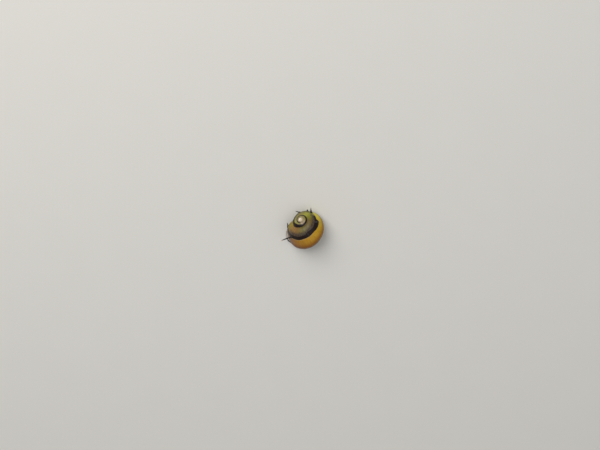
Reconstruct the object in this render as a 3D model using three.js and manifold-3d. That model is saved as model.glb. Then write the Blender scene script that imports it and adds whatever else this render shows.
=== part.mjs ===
// A horned nerite snail, life size, crawling on a level floor with the front of its shell a little raised.
// The head looks along -Y, +Z is up and +X is the animal's left. The floor is at z = 0. Sizes are in millimetres.
import * as THREE from 'three';
import { mergeVertices } from 'three/addons/utils/BufferGeometryUtils.js';
import Module from 'manifold-3d';

const wasm = await Module();
wasm.setup();

const TURN = 2 * Math.PI;
const radians = THREE.MathUtils.degToRad;
const smooth = THREE.MathUtils.smoothstep;
const vector = (x, y, z) => new THREE.Vector3(x, y, z);

// Clearance between neighbouring pieces
const GAP = 0.3;

// Reach of the blocks that only cut
const FAR = 30;

// Place of the shell: its apex, and the coiling axis through it
const APEX = vector(-4.75, 4.9, 7.4);
const AXIS_ELEVATION = 32.8;
const AXIS_BEARING = 46.4;
const LIP_DIP = 10.3;

// Growth of the shell, told backwards from the lip as an age in radians
const EXPANSION = 2.09;
const WHORLS = 2.2;
const STEPS_PER_TURN = 45;
const LENGTHS_PER_TURN = 3;
const LIP_TURN = radians(75);
const LIP_NARROWING = 0.08;
const LIP_DROP = 1.1;
const CLOSING_TURN = radians(48);
const CLOSING_NARROWING = 0.42;
const CLOSING_DROP = 0.6;

// Section of the last whorl at the lip, as distance from the coiling axis and drop below the apex
const SUTURE = [3.77, 1.57];
const SHOULDER = SUTURE.map((size) => size * EXPANSION);
const BAND = [8.55, 4.25];
const SECTION = [
  SUTURE,
  [4.95, 1.53],
  [6.45, 2.12],
  SHOULDER,
  [9.17, 5.31],
  [10.14, 7.86],
  [10.85, 10.6],
  [10.3, 13.0],
  [8.6, 14.8],
  [5.9, 15.9],
  [3.1, 16.4],
  [0.2, 16.5],
];
const SECTION_STEPS = 26;
const CORE_TOP = [0.2, 1.2];
const CORE_RADIUS = 0.5;
const CORE_LENGTH = 13;
const APEX_CAP = { radius: 1.1, height: 0.62, drop: 0.75 };

// Mouth of the shell: the level of its lip behind and in front, the callus base and the hollow for the body
const LIP_BACK = 0.9;
const LIP_FRONT = 2.1;
const LIP_BACK_Y = 7.5;
const LIP_FRONT_Y = -10;
const CALLUS = { x: -0.2, y: -0.3, z: 0.9, radius: [5.7, 7.1, 3.6] };
const HOLLOW = { x: -1.0, y: -1.8, z: 0.9, radius: [4.9, 7.0, 3.3] };

// Spines of the shoulder: age in degrees, length, thickness at the root, lean towards the lip in degrees, lift
const SPINES = [
  { age: -8, length: 1.6, width: 0.72, lean: 60, lift: 20 },
  { age: 40, length: 5.8, width: 0.95, lean: 10, lift: -20 },
  { age: 107, length: 0.7, width: 0.8, lean: 0, lift: -60 },
  { age: 163, length: 1.8, width: 1.05, lean: 0, lift: -36 },
  { age: 219, length: 2.3, width: 0.85, lean: -14, lift: 10 },
  { age: 239, length: 0.8, width: 0.85, lean: 0, lift: 0 },
  { age: 281, length: 1.9, width: 0.7, lean: -48, lift: 20 },
];
const SPINE_SIDES = 7;
const SPINE_SUNK = 0.55;
const SPINE_TIP = 0.34;

// Foot: an oval sole, thicker in front, parted behind the head end
const BODY_X = -0.8;
const FOOT = { y: -2.3, radius: [4.9, 6.9], edge: 0.24, height: 0.62 };
const FOOT_SPLIT_Y = -4.6;

// Trunk, in the hollow of the shell
const TRUNK = { y: -2.3, z: 0.9, radius: [4.3, 5.9, 3.0] };
const TRUNK_FRONT_Y = -6.9;
const TRUNK_BACK_Y = -0.4;

// Head: a broad forehead, and the two lobes of the snout over the mouth
const FOREHEAD = { y: -8.2, z: 0.9, radius: [2.35, 2.2, 0.92] };
const LOBE = { x: 0.95, y: -9.9, z: 0.72, radius: [1.3, 0.85, 0.56] };
const MOUTH = { y: -10.35, z: 0.34, radius: [0.75, 0.5, 0.22] };

// Tentacles: a curve out from the side of the head and back beside the lip, in two lengths
const TENTACLE_ROOT = 0.31;
const TENTACLE_TIP = 0.17;
const TENTACLE_STEPS = 10;
const TENTACLE_SIDES = 8;
const TENTACLE_SPLIT = 0.5;
const TENTACLE_PARTING = 0.02;
const TENTACLE_LEFT = [
  [2.1, -9.35, 1.12],
  [2.9, -9.8, 1.16],
  [3.9, -9.4, 1.05],
  [4.7, -8.5, 0.9],
  [5.3, -7.4, 0.75],
  [5.75, -6.2, 0.62],
];
const TENTACLE_RIGHT = [
  [-2.1, -9.35, 1.12],
  [-2.9, -9.9, 1.16],
  [-4.0, -9.6, 1.05],
  [-5.1, -8.8, 0.9],
  [-5.85, -7.4, 0.75],
  [-6.48, -5.6, 0.6],
];

// Eyes, each on a short stalk at the outer side of a tentacle's root
const STALK = { x: 2.62, y: -8.2, z: 1.02, radius: [0.72, 0.5, 0.42] };
const EYE = { x: 3.4, y: -8.35, z: 1.22, radius: 0.34 };
const EYE_GAP = 0.2;

// Operculum: the half-moon door of the shell, carried flat on the back of the foot
const OPERCULUM = { y: 0.2, width: 4.6, length: 2.9, height: 0.5 };

const bearing = radians(AXIS_BEARING);
const elevation = radians(AXIS_ELEVATION);
const axis = vector(
  -Math.sin(bearing) * Math.cos(elevation),
  Math.cos(bearing) * Math.cos(elevation),
  Math.sin(elevation),
);
const level = vector(0, 0, 1).cross(axis).normalize();
const lipRadius = level.clone().applyAxisAngle(axis, -radians(LIP_DIP));

// Solid of a closed geometry
function solidOf(geometry) {
  const bare = geometry.clone();
  bare.deleteAttribute('normal');
  bare.deleteAttribute('uv');
  const merged = mergeVertices(bare, 1e-4);
  return new wasm.Manifold(new wasm.Mesh({
    numProp: 3,
    vertProperties: new Float32Array(merged.attributes.position.array),
    triVerts: new Uint32Array(merged.index.array),
  }));
}

// Geometry of the largest closed body of a solid
function geometryOf(solid) {
  const bodies = solid.decompose().sort((a, b) => b.volume() - a.volume());
  const mesh = bodies[0].getMesh();
  const geometry = new THREE.BufferGeometry();
  geometry.setAttribute('position', new THREE.BufferAttribute(mesh.vertProperties, 3));
  geometry.setIndex(new THREE.BufferAttribute(mesh.triVerts, 1));
  geometry.computeVertexNormals();
  return geometry;
}

function joined(solids) {
  return solids.reduce((whole, solid) => whole.add(solid));
}

// Ball stretched to three radii
function ovoid([x, y, z], [rx, ry, rz], across = 24, down = 14) {
  const geometry = new THREE.SphereGeometry(1, across, down);
  geometry.rotateX(Math.PI / 2);
  geometry.scale(rx, ry, rz);
  geometry.translate(x, y, z);
  return solidOf(geometry);
}

// Block between two corners, for cuts
function block(low, high) {
  const size = high.map((value, i) => value - low[i]);
  const geometry = new THREE.BoxGeometry(...size);
  geometry.translate(...low.map((value, i) => value + size[i] / 2));
  return solidOf(geometry);
}

// Point of the shell wall at an age, for a place in the section; a negative age is past the lip,
// where the wall closes down to the floor
function whorlPoint([distance, drop], age) {
  const lip = 1 - smooth(age, 0, LIP_TURN);
  const closing = smooth(-age, 0, CLOSING_TURN);
  const size = EXPANSION ** (-Math.max(age, 0) / TURN)
    * (1 - LIP_NARROWING * lip) * (1 - CLOSING_NARROWING * closing);
  return lipRadius.clone().applyAxisAngle(axis, age)
    .multiplyScalar(distance * size)
    .addScaledVector(axis, -drop * size - LIP_DROP * lip - CLOSING_DROP * closing)
    .add(APEX);
}

// One length of whorl: a prism of the section, bent into the spiral
function whorlLength(fromStep, toStep) {
  const wall = new THREE.SplineCurve(SECTION.map((place) => new THREE.Vector2(...place)));
  const section = new THREE.Shape([new THREE.Vector2(...CORE_TOP), ...wall.getPoints(SECTION_STEPS)]);
  const steps = toStep - fromStep;
  const geometry = new THREE.ExtrudeGeometry(section, { depth: steps, steps, bevelEnabled: false });
  const place = geometry.attributes.position;
  for (let i = 0; i < place.count; i += 1) {
    const age = (fromStep + place.getZ(i)) / STEPS_PER_TURN * TURN;
    place.setXYZ(i, ...whorlPoint([place.getX(i), place.getY(i)], age));
  }
  return solidOf(geometry);
}

function whorls() {
  const last = Math.round(WHORLS * STEPS_PER_TURN);
  const step = STEPS_PER_TURN / LENGTHS_PER_TURN;
  const lengths = [];
  for (let from = 0; from < last; from += step) {
    const start = from === 0 ? -Math.round(CLOSING_TURN / TURN * STEPS_PER_TURN) : from;
    lengths.push(whorlLength(start, Math.min(from + step + 1, last)));
  }
  return joined(lengths);
}

// Worn tip of the spire, and the solid core round the coiling axis
function core() {
  const rod = new THREE.CylinderGeometry(CORE_RADIUS, CORE_RADIUS, CORE_LENGTH, 10);
  rod.translate(0, -CORE_LENGTH / 2, 0);
  const cap = new THREE.SphereGeometry(1, 18, 10);
  cap.scale(APEX_CAP.radius, APEX_CAP.height, APEX_CAP.radius);
  const worn = APEX.clone().addScaledVector(axis, -APEX_CAP.drop);
  return joined([rod, cap].map((geometry) => {
    geometry.applyQuaternion(new THREE.Quaternion().setFromUnitVectors(vector(0, 1, 0), axis));
    return solidOf(geometry.translate(...worn));
  }));
}

// Tapered spine of the shoulder, its root sunk into the wall
function spine({ age, length, width, lean, lift }) {
  const turned = radians(age);
  const root = whorlPoint(BAND, turned);
  const small = 0.02;
  const forward = whorlPoint(BAND, turned - small).sub(whorlPoint(BAND, turned + small)).normalize();
  const down = whorlPoint([BAND[0] + small, BAND[1] + small], turned).sub(root).normalize();
  const out = forward.clone().cross(down).normalize();
  const direction = out.multiplyScalar(Math.cos(radians(lean)))
    .addScaledVector(forward, Math.sin(radians(lean)))
    .addScaledVector(axis, Math.sin(radians(lift)))
    .normalize();
  const whole = length + SPINE_SUNK;
  const geometry = new THREE.CylinderGeometry(SPINE_TIP / 2, width / 2, whole, SPINE_SIDES);
  geometry.translate(0, whole / 2 - SPINE_SUNK, 0);
  geometry.applyQuaternion(new THREE.Quaternion().setFromUnitVectors(vector(0, 1, 0), direction));
  geometry.translate(...root);
  return solidOf(geometry);
}

// Block of all that lies below the lip
function belowLip() {
  const slope = Math.atan((LIP_FRONT - LIP_BACK) / (LIP_BACK_Y - LIP_FRONT_Y));
  const geometry = new THREE.BoxGeometry(2 * FAR, 2 * FAR, FAR);
  geometry.translate(0, 0, -FAR / 2);
  geometry.rotateX(-slope);
  geometry.translate(0, LIP_BACK_Y, LIP_BACK);
  return solidOf(geometry);
}

function makeShell() {
  const callus = ovoid([CALLUS.x, CALLUS.y, CALLUS.z], CALLUS.radius, 40, 20);
  const hollow = ovoid([HOLLOW.x, HOLLOW.y, HOLLOW.z], HOLLOW.radius, 32, 16);
  return joined([whorls(), core(), callus, ...SPINES.map(spine)]).subtract(belowLip()).subtract(hollow);
}

function makeFoot() {
  const [rx, ry] = FOOT.radius;
  const sole = new THREE.Shape().absellipse(BODY_X, FOOT.y, rx - FOOT.edge, ry - FOOT.edge, 0, TURN);
  const geometry = new THREE.ExtrudeGeometry(sole, {
    depth: FOOT.height - FOOT.edge,
    curveSegments: 36,
    bevelThickness: FOOT.edge,
    bevelSize: FOOT.edge,
    bevelSegments: 3,
  });
  return solidOf(geometry).subtract(block([-FAR, -FAR, -FAR], [FAR, FAR, 0]));
}

function makeTrunk() {
  const { y, z, radius } = TRUNK;
  return ovoid([BODY_X, y, z], radius, 28, 16)
    .subtract(block([-FAR, -FAR, -FAR], [FAR, FAR, FOOT.height + GAP]))
    .subtract(block([-FAR, -FAR, -FAR], [FAR, TRUNK_FRONT_Y + GAP / 2, FAR]))
    .subtract(block([-FAR, TRUNK_BACK_Y, -FAR], [FAR, FAR, FAR]));
}

function makeHead() {
  const lobes = [-1, 1].map((side) => ovoid([BODY_X + side * LOBE.x, LOBE.y, LOBE.z], LOBE.radius, 18, 12));
  const mouth = ovoid([BODY_X, MOUTH.y, MOUTH.z], MOUTH.radius, 14, 10);
  const footFront = FOOT.y - FOOT.radius[1] - GAP;
  return joined([ovoid([BODY_X, FOREHEAD.y, FOREHEAD.z], FOREHEAD.radius), ...lobes])
    .subtract(mouth)
    .subtract(block([-FAR, footFront, -FAR], [FAR, FAR, FOOT.height + GAP]))
    .subtract(block([-FAR, TRUNK_FRONT_Y - GAP / 2, -FAR], [FAR, FAR, FAR]));
}

// Tapered tube along part of a curve
function feeler(places, from, to) {
  const curve = new THREE.CatmullRomCurve3(places.map(([x, y, z]) => vector(BODY_X + x, y, z)));
  const steps = Math.round(TENTACLE_STEPS * (to - from));
  const geometry = new THREE.CylinderGeometry(1, 1, 1, TENTACLE_SIDES, steps);
  const place = geometry.attributes.position;
  const up = vector(0, 0, 1);
  for (let i = 0; i < place.count; i += 1) {
    const along = from + (to - from) * (place.getY(i) + 0.5);
    const width = THREE.MathUtils.lerp(TENTACLE_ROOT, TENTACLE_TIP, along);
    const side = curve.getTangentAt(along).cross(up).normalize();
    const point = curve.getPointAt(along)
      .addScaledVector(side, place.getX(i) * width)
      .addScaledVector(up, place.getZ(i) * width);
    place.setXYZ(i, ...point);
  }
  return solidOf(geometry);
}

function makeEye(side, radius) {
  return ovoid([BODY_X + side * EYE.x, EYE.y, EYE.z], [radius, radius, radius], 12, 8);
}

// Stalk with a socket that clears its eye, and a face that clears the head
function makeStalk(side) {
  return ovoid([BODY_X + side * STALK.x, STALK.y, STALK.z], STALK.radius, 14, 10)
    .subtract(makeEye(side, EYE.radius + EYE_GAP))
    .subtract(ovoid([BODY_X, FOREHEAD.y, FOREHEAD.z], FOREHEAD.radius.map((size) => size + EYE_GAP)));
}

// Half-moon plate with a straight front edge
function makeOperculum() {
  const { y, width, length, height } = OPERCULUM;
  const door = new THREE.Shape();
  door.absellipse(BODY_X, y, width / 2, length, 0, Math.PI);
  door.closePath();
  const geometry = new THREE.ExtrudeGeometry(door, { depth: height, bevelEnabled: false, curveSegments: 20 });
  geometry.translate(0, 0, FOOT.height + GAP);
  return solidOf(geometry);
}

const snail = new THREE.Group();

function addPiece(name, solid, color, roughness) {
  const piece = new THREE.Mesh(geometryOf(solid), new THREE.MeshStandardMaterial({ color, roughness }));
  piece.name = name;
  snail.add(piece);
}

const SHELL_FINISH = [0xb08a3a, 0.3];
const FLESH_FINISH = [0x4a4640, 0.5];
const SOLE_FINISH = [0x8c8676, 0.5];
const EYE_FINISH = [0x0a0a0a, 0.1];
const OPERCULUM_FINISH = [0xb8a98c, 0.4];

const foot = makeFoot();
const footCut = [FOOT_SPLIT_Y - GAP / 2, FOOT_SPLIT_Y + GAP / 2];
addPiece('shell', makeShell(), ...SHELL_FINISH);
addPiece('foot_front', foot.subtract(block([-FAR, footCut[0], -FAR], [FAR, FAR, FAR])), ...SOLE_FINISH);
addPiece('foot_rear', foot.subtract(block([-FAR, -FAR, -FAR], [FAR, footCut[1], FAR])), ...SOLE_FINISH);
addPiece('trunk', makeTrunk(), ...FLESH_FINISH);
addPiece('head', makeHead(), ...FLESH_FINISH);
addPiece('operculum', makeOperculum(), ...OPERCULUM_FINISH);

for (const [name, side, places] of [['left', 1, TENTACLE_LEFT], ['right', -1, TENTACLE_RIGHT]]) {
  addPiece(`tentacle_${name}_root`, feeler(places, 0, TENTACLE_SPLIT - TENTACLE_PARTING), ...FLESH_FINISH);
  addPiece(`tentacle_${name}_tip`, feeler(places, TENTACLE_SPLIT + TENTACLE_PARTING, 1), ...FLESH_FINISH);
  addPiece(`eye_stalk_${name}`, makeStalk(side), ...FLESH_FINISH);
  addPiece(`eye_${name}`, makeEye(side, EYE.radius), ...EYE_FINISH);
}

export default snail;
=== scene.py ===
"""Horned nerite snail, life size: a banded, spined shell over a soft crawling body.

The fixed model gives the size and place of every piece. This script grows the shell again along the same
spiral in fine steps, and paints it by age and by place on its wall. One skin covers the foot, trunk, head,
tentacles and eye stalks. Pieces are shaped in millimetres and turned to metres when they are placed. The
head looks along -Y, +Z is up and +X is the animal's left.
"""

import logging
import math
from dataclasses import dataclass, field
from enum import Enum
from typing import Callable, Iterable, Sequence

import bmesh
import bpy
from bmesh.types import BMEdge, BMesh, BMFace, BMVert
from bpy.types import Material, Node, NodeSocket, Object
from mathutils import Matrix, Vector, noise


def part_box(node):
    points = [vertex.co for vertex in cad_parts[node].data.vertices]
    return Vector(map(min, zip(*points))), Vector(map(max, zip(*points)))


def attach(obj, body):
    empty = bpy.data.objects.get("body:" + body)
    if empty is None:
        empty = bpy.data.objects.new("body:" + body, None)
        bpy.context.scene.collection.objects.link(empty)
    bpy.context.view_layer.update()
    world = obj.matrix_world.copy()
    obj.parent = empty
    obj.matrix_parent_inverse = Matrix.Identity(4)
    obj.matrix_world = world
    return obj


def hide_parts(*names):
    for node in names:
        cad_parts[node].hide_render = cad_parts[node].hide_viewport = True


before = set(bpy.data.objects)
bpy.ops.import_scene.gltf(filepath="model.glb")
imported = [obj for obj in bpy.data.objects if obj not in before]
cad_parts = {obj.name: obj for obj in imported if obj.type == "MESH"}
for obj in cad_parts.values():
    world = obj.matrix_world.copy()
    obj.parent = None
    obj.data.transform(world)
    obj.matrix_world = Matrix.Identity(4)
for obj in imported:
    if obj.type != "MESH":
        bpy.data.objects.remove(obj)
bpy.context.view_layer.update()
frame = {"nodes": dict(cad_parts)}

LOG = logging.getLogger("nerite_snail")
MM = 0.001
TURN = 360.0
UP = Vector((0.0, 0.0, 1.0))
BODY = "root"
GROWTH_MAP = "Growth"
Pair = tuple[float, float]
Triple = tuple[float, float, float]
Curve = tuple[Triple, ...]
Rise = tuple[float, ...]
Inputs = dict[str | int, object]
Paint = tuple[int, int, int]
Stops = tuple[tuple[float, Paint], ...]


class Slot(Enum):
    """Names for the snail's four kinds of material: shell, flesh, eye and operculum."""

    SHELL = "shell"
    FLESH = "flesh"
    EYE = "eye"
    OPERCULUM = "operculum"


def box_mm(*nodes: str) -> tuple[Vector, Vector]:
    """Middle and half size of some nodes of the fixed model.

    Args:
        nodes: names of the nodes.

    Returns:
        Both in millimetres.
    """
    corners = [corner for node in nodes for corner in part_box(node)]
    low = Vector(min(corner[i] for corner in corners) for i in range(3)) / MM
    high = Vector(max(corner[i] for corner in corners) for i in range(3)) / MM
    return (low + high) / 2.0, (high - low) / 2.0


def smooth_step(value: float, low: float, high: float) -> float:
    """Rise from 0 at low to 1 at high, level at both ends."""
    share = min(max((value - low) / (high - low), 0.0), 1.0)
    return share * share * (3.0 - 2.0 * share)


def through(points: Sequence[Vector], samples: int) -> list[Vector]:
    """Points of a smooth curve that passes through the given ones.

    Args:
        points: the places that the curve passes.
        samples: number of steps along the curve.

    Returns:
        samples + 1 points, evenly spread over the stretches between the given ones.
    """
    last = len(points) - 1
    curve = []
    for sample in range(samples + 1):
        along = sample * last / samples
        start = min(int(along), last - 1)
        t = along - start
        before, a, b, after = (points[min(max(start + k, 0), last)] for k in (-1, 0, 1, 2))
        curve.append(0.5 * (
            2.0 * a + (b - before) * t
            + (2.0 * before - 5.0 * a + 4.0 * b - after) * t ** 2
            + (3.0 * a - before - 3.0 * b + after) * t ** 3
        ))
    return curve


def standing(foot: Vector, heading: Vector) -> Matrix:
    """Matrix that moves a form from the origin to a foot, and turns its Z along a heading."""
    return Matrix.Translation(foot) @ UP.rotation_difference(heading).to_matrix().to_4x4()


def edges_of(verts: Iterable[BMVert]) -> list[BMEdge]:
    """Edges that meet some vertices, each once."""
    return list(dict.fromkeys(edge for vert in verts for edge in vert.link_edges))


def sorted_out(geom: Iterable[object]) -> tuple[list[BMVert], list[BMEdge], list[BMFace]]:
    """Vertices, edges and faces of an operator's result, each in a list of its own."""
    return tuple([item for item in geom if isinstance(item, kind)] for kind in (BMVert, BMEdge, BMFace))


def drawn_out(bm: BMesh, edges: list[BMEdge]) -> tuple[list[BMVert], list[BMEdge], list[BMFace]]:
    """Draws a loop of edges out. Gives the new loop's vertices and edges, and the faces between."""
    return sorted_out(bmesh.ops.extrude_edge_only(bm, edges=edges)["geom"])


def cut(bm: BMesh, point: Vector, up: Vector, clear: bool = True, snap: float = 0.0) -> list[BMEdge]:
    """Cuts a mesh along a plane.

    Args:
        bm: the mesh.
        point: a point of the plane.
        up: the plane's upward direction.
        clear: whether what lies below the plane goes.
        snap: how near to the plane a vertex counts as on it.

    Returns:
        Edges of the cut.
    """
    whole = [*bm.verts, *bm.edges, *bm.faces]
    made = bmesh.ops.bisect_plane(bm, geom=whole, dist=snap, plane_co=point, plane_no=up, clear_inner=clear)
    return sorted_out(made["geom_cut"])[1]


def raised(bm: BMesh, edges: list[BMEdge], rows: Iterable[Pair], middle: Vector) -> list[BMFace]:
    """Raises a loop of edges through rows of different widths, and closes the last.

    Args:
        bm: the mesh.
        edges: the loop, which is the first row.
        rows: height and width of each row.
        middle: the point that the widths are told from.

    Returns:
        The new faces.
    """
    (height, width), *rest = rows
    faces = []
    for next_height, next_width in rest:
        ring, edges, sides = drawn_out(bm, edges)
        faces += sides
        change = next_width / width
        bmesh.ops.scale(bm, vec=(change, change, 1.0), space=Matrix.Translation(-middle), verts=ring)
        bmesh.ops.translate(bm, vec=(0.0, 0.0, next_height - height), verts=ring)
        height, width = next_height, next_width
    return faces + bmesh.ops.edgeloop_fill(bm, edges=edges)["faces"]


def map_growth(bm: BMesh, faces: Iterable[BMFace], rule: Callable[[BMVert], Pair]) -> None:
    """Writes the map that the shell's paint follows.

    Args:
        bm: the mesh.
        faces: the faces to write.
        rule: gives the age in turns and the share of the wall at a vertex.
    """
    maps = bm.loops.layers.uv
    growth = maps.get(GROWTH_MAP) or maps.new(GROWTH_MAP)
    for face in faces:
        for corner in face.loops:
            corner[growth].uv = rule(corner.vert)


def scratch(bm: BMesh, name: str) -> Object:
    """Object for a mesh that is still being shaped, in millimetres.

    Args:
        bm: the mesh, which is freed.
        name: name of the object.

    Returns:
        The new object, linked to the scene.
    """
    mesh = bpy.data.meshes.new(name)
    bm.to_mesh(mesh)
    bm.free()
    piece = bpy.data.objects.new(name, mesh)
    bpy.context.scene.collection.objects.link(piece)
    return piece


def settled(piece: Object, spent: Iterable[Object] = ()) -> BMesh:
    """Mesh of a scratch object with its modifiers worked in. The object is removed.

    Args:
        piece: the object to settle.
        spent: other scratch objects that it used, which are removed too.

    Returns:
        The mesh for further work.
    """
    graph = bpy.context.evaluated_depsgraph_get()
    mesh = bpy.data.meshes.new_from_object(piece.evaluated_get(graph))
    bm = bmesh.new()
    bm.from_mesh(mesh)
    bpy.data.meshes.remove(mesh)
    for used in (piece, *spent):
        bpy.data.objects.remove(used)
    return bm


def united(pieces: Sequence[Object]) -> BMesh:
    """One closed surface round several closed pieces that cross each other.

    Args:
        pieces: the scratch objects, which are removed.

    Returns:
        The joined mesh.
    """
    first, *others = pieces
    group = bpy.data.collections.new("united")
    bpy.context.scene.collection.children.link(group)
    for other in others:
        group.objects.link(other)
    union = first.modifiers.new("union", "BOOLEAN")
    union.operation = "UNION"
    union.solver = "MANIFOLD"
    union.operand_type = "COLLECTION"
    union.collection = group
    bm = settled(first, others)
    bpy.data.collections.remove(group)
    return bm


def mended(bm: BMesh, shortest: float = 0.004) -> None:
    """Closes up the splinters and cracks that a union leaves.

    Args:
        bm: the mesh.
        shortest: edges below this length are collapsed.
    """
    bmesh.ops.dissolve_degenerate(bm, dist=shortest, edges=bm.edges)
    bmesh.ops.delete(bm, geom=[edge for edge in bm.edges if edge.is_wire], context="EDGES")
    bmesh.ops.holes_fill(bm, edges=[edge for edge in bm.edges if edge.is_boundary], sides=0)


def keep_largest(bm: BMesh) -> None:
    """Deletes every scrap that isn't joined to the largest surface.

    Args:
        bm: the mesh.
    """
    left = set(bm.verts)
    largest: set[BMVert] = set()
    while left:
        queue = [left.pop()]
        group = set(queue)
        while queue:
            vert = queue.pop()
            near = {edge.other_vert(vert) for edge in vert.link_edges} & left
            left -= near
            group |= near
            queue.extend(near)
        largest = max(largest, group, key=len)
    bmesh.ops.delete(bm, geom=[vert for vert in bm.verts if vert not in largest], context="VERTS")


def placed(
    bm: BMesh, name: str, materials: Sequence[Material], replaces: Sequence[str] = ()
) -> Object:
    """Finished piece of the snail, in metres and facing outwards, that rides with the fixed model.

    Args:
        bm: its mesh in millimetres, which is freed.
        name: name of the piece.
        materials: its materials, in the order of the faces' material numbers.
        replaces: nodes of the fixed model that it stands for.

    Returns:
        The new object.
    """
    bmesh.ops.recalc_face_normals(bm, faces=bm.faces)
    bmesh.ops.scale(bm, vec=(MM, MM, MM), verts=bm.verts)
    for face in bm.faces:
        face.smooth = True
    piece = scratch(bm, name)
    for material in materials:
        piece.data.materials.append(material)
    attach(piece, BODY)
    if replaces:
        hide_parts(*replaces)
    return piece


def ovoid(centre: Sequence[float], radii: Sequence[float], across: int = 96, down: int = 48) -> BMesh:
    """Ball stretched to three radii.

    Args:
        centre: its middle.
        radii: half its size along X, Y and Z.
        across: faces round it.
        down: faces from pole to pole.

    Returns:
        The closed mesh.
    """
    bm = bmesh.new()
    bmesh.ops.create_uvsphere(bm, u_segments=across, v_segments=down, radius=1.0)
    bmesh.ops.scale(bm, vec=radii, verts=bm.verts)
    bmesh.ops.translate(bm, vec=centre, verts=bm.verts)
    return bm


@dataclass(frozen=True)
class Spiral:
    """Growth of the shell, told backwards from its lip as an age in degrees of turn.

    Near the lip the whorl narrows a little and drops. At a negative age, past the lip, it closes down to the
    floor. Each ripple of the wall has a length in degrees, a depth and a start.
    """

    apex: Triple = (-4.75, 4.9, 7.4)
    axis_elevation: float = 32.8
    axis_bearing: float = 46.4
    lip_dip: float = 10.3
    expansion: float = 2.09
    lip_turn: float = 75.0
    lip_narrowing: float = 0.08
    lip_drop: float = 1.1
    closing_turn: float = 48.0
    closing_narrowing: float = 0.42
    closing_drop: float = 0.6
    ripples: tuple[Triple, ...] = ((11.3, 0.0016, 0.4), (23.7, 0.0022, 1.9), (61.0, 0.0030, 4.1))

    @property
    def top(self) -> Vector:
        """The apex, where the coiling axis leaves the shell."""
        return Vector(self.apex)

    @property
    def axis(self) -> Vector:
        """Direction of the coiling axis, out of the apex.

        Returns:
            A vector of length 1.
        """
        rise, bearing = math.radians(self.axis_elevation), math.radians(self.axis_bearing)
        level = math.cos(rise)
        return Vector((-math.sin(bearing) * level, math.cos(bearing) * level, math.sin(rise)))

    @property
    def lip_side(self) -> Vector:
        """Direction from the coiling axis to the lip."""
        level = UP.cross(self.axis).normalized()
        return Matrix.Rotation(-math.radians(self.lip_dip), 3, self.axis) @ level

    def size(self, age: float) -> float:
        """Size of the whorl at an age, as a share of its size at the lip.

        Args:
            age: degrees of turn back from the lip.

        Returns:
            The share, with the faint swells that growth left on the wall.
        """
        lip = 1.0 - smooth_step(age, 0.0, self.lip_turn)
        closing = smooth_step(-age, 0.0, self.closing_turn)
        swell = sum(
            depth * math.sin(math.tau * age / length + start) for length, depth, start in self.ripples
        )
        plain = self.expansion ** (-max(age, 0.0) / TURN)
        narrowed = plain * (1.0 - self.lip_narrowing * lip) * (1.0 - self.closing_narrowing * closing)
        return narrowed * (1.0 + swell)

    def sink(self, age: float) -> float:
        """Drop of the whorl near and past the lip, along the coiling axis."""
        lip = 1.0 - smooth_step(age, 0.0, self.lip_turn)
        return self.lip_drop * lip + self.closing_drop * smooth_step(-age, 0.0, self.closing_turn)

    def ring(self, age: float) -> Matrix:
        """Matrix that carries the lip's section to an age.

        Args:
            age: degrees of turn back from the lip.

        Returns:
            Matrix from the section's own space, whose origin is the apex, to the model.
        """
        turned = Matrix.Rotation(math.radians(age), 4, self.axis)
        shift = Matrix.Translation(self.top - self.axis * self.sink(age))
        return shift @ turned @ Matrix.Scale(self.size(age), 4)

    def section_point(self, place: Pair) -> Vector:
        """Place of the section in its own space, whose origin is the apex."""
        return self.lip_side * place[0] - self.axis * place[1]

    def point(self, place: Pair, age: float) -> Vector:
        """Point of the wall at a place, told at the lip's size, and an age in degrees."""
        return self.ring(age) @ self.section_point(place)


@dataclass(frozen=True)
class Section:
    """Wall of the last whorl at the lip. A place is a distance from the axis and a drop below the apex."""

    suture: Pair = (3.77, 1.57)
    slope: tuple[Pair, ...] = ((4.95, 1.53), (6.45, 2.12))
    shoulder: Pair = (7.88, 3.28)
    band_foot: Pair = (9.17, 5.31)
    flank: tuple[Pair, ...] = ((10.14, 7.86), (10.85, 10.6), (10.3, 13.0), (8.6, 14.8))
    base: tuple[Pair, ...] = ((5.9, 15.9), (3.1, 16.4), (0.2, 16.5))
    core_top: Pair = (0.2, 1.2)
    samples: int = 132

    @property
    def wall(self) -> list[Vector]:
        """Fine points of the wall, from the suture to the base."""
        places = [self.suture, *self.slope, self.shoulder, self.band_foot, *self.flank, *self.base]
        return through([Vector(place) for place in places], self.samples)

    @property
    def shares(self) -> list[float]:
        """Length along the wall to each fine point.

        Returns:
            The lengths, as shares of the whole wall.
        """
        wall = self.wall
        run = [0.0]
        for a, b in zip(wall, wall[1:]):
            run.append(run[-1] + (b - a).length)
        return [length / run[-1] for length in run]

    def share(self, place: Pair) -> float:
        """Share of the wall's length at the fine point nearest to a place."""
        spot = Vector(place)
        return min(zip(self.wall, self.shares), key=lambda pair: (pair[0] - spot).length)[1]


@dataclass(frozen=True)
class Spine:
    """One tapered spine of the shoulder. It leans forward and lifts along the coiling axis, in degrees."""

    age: float
    length: float
    width: float
    lean: float = 0.0
    lift: float = 0.0


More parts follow.
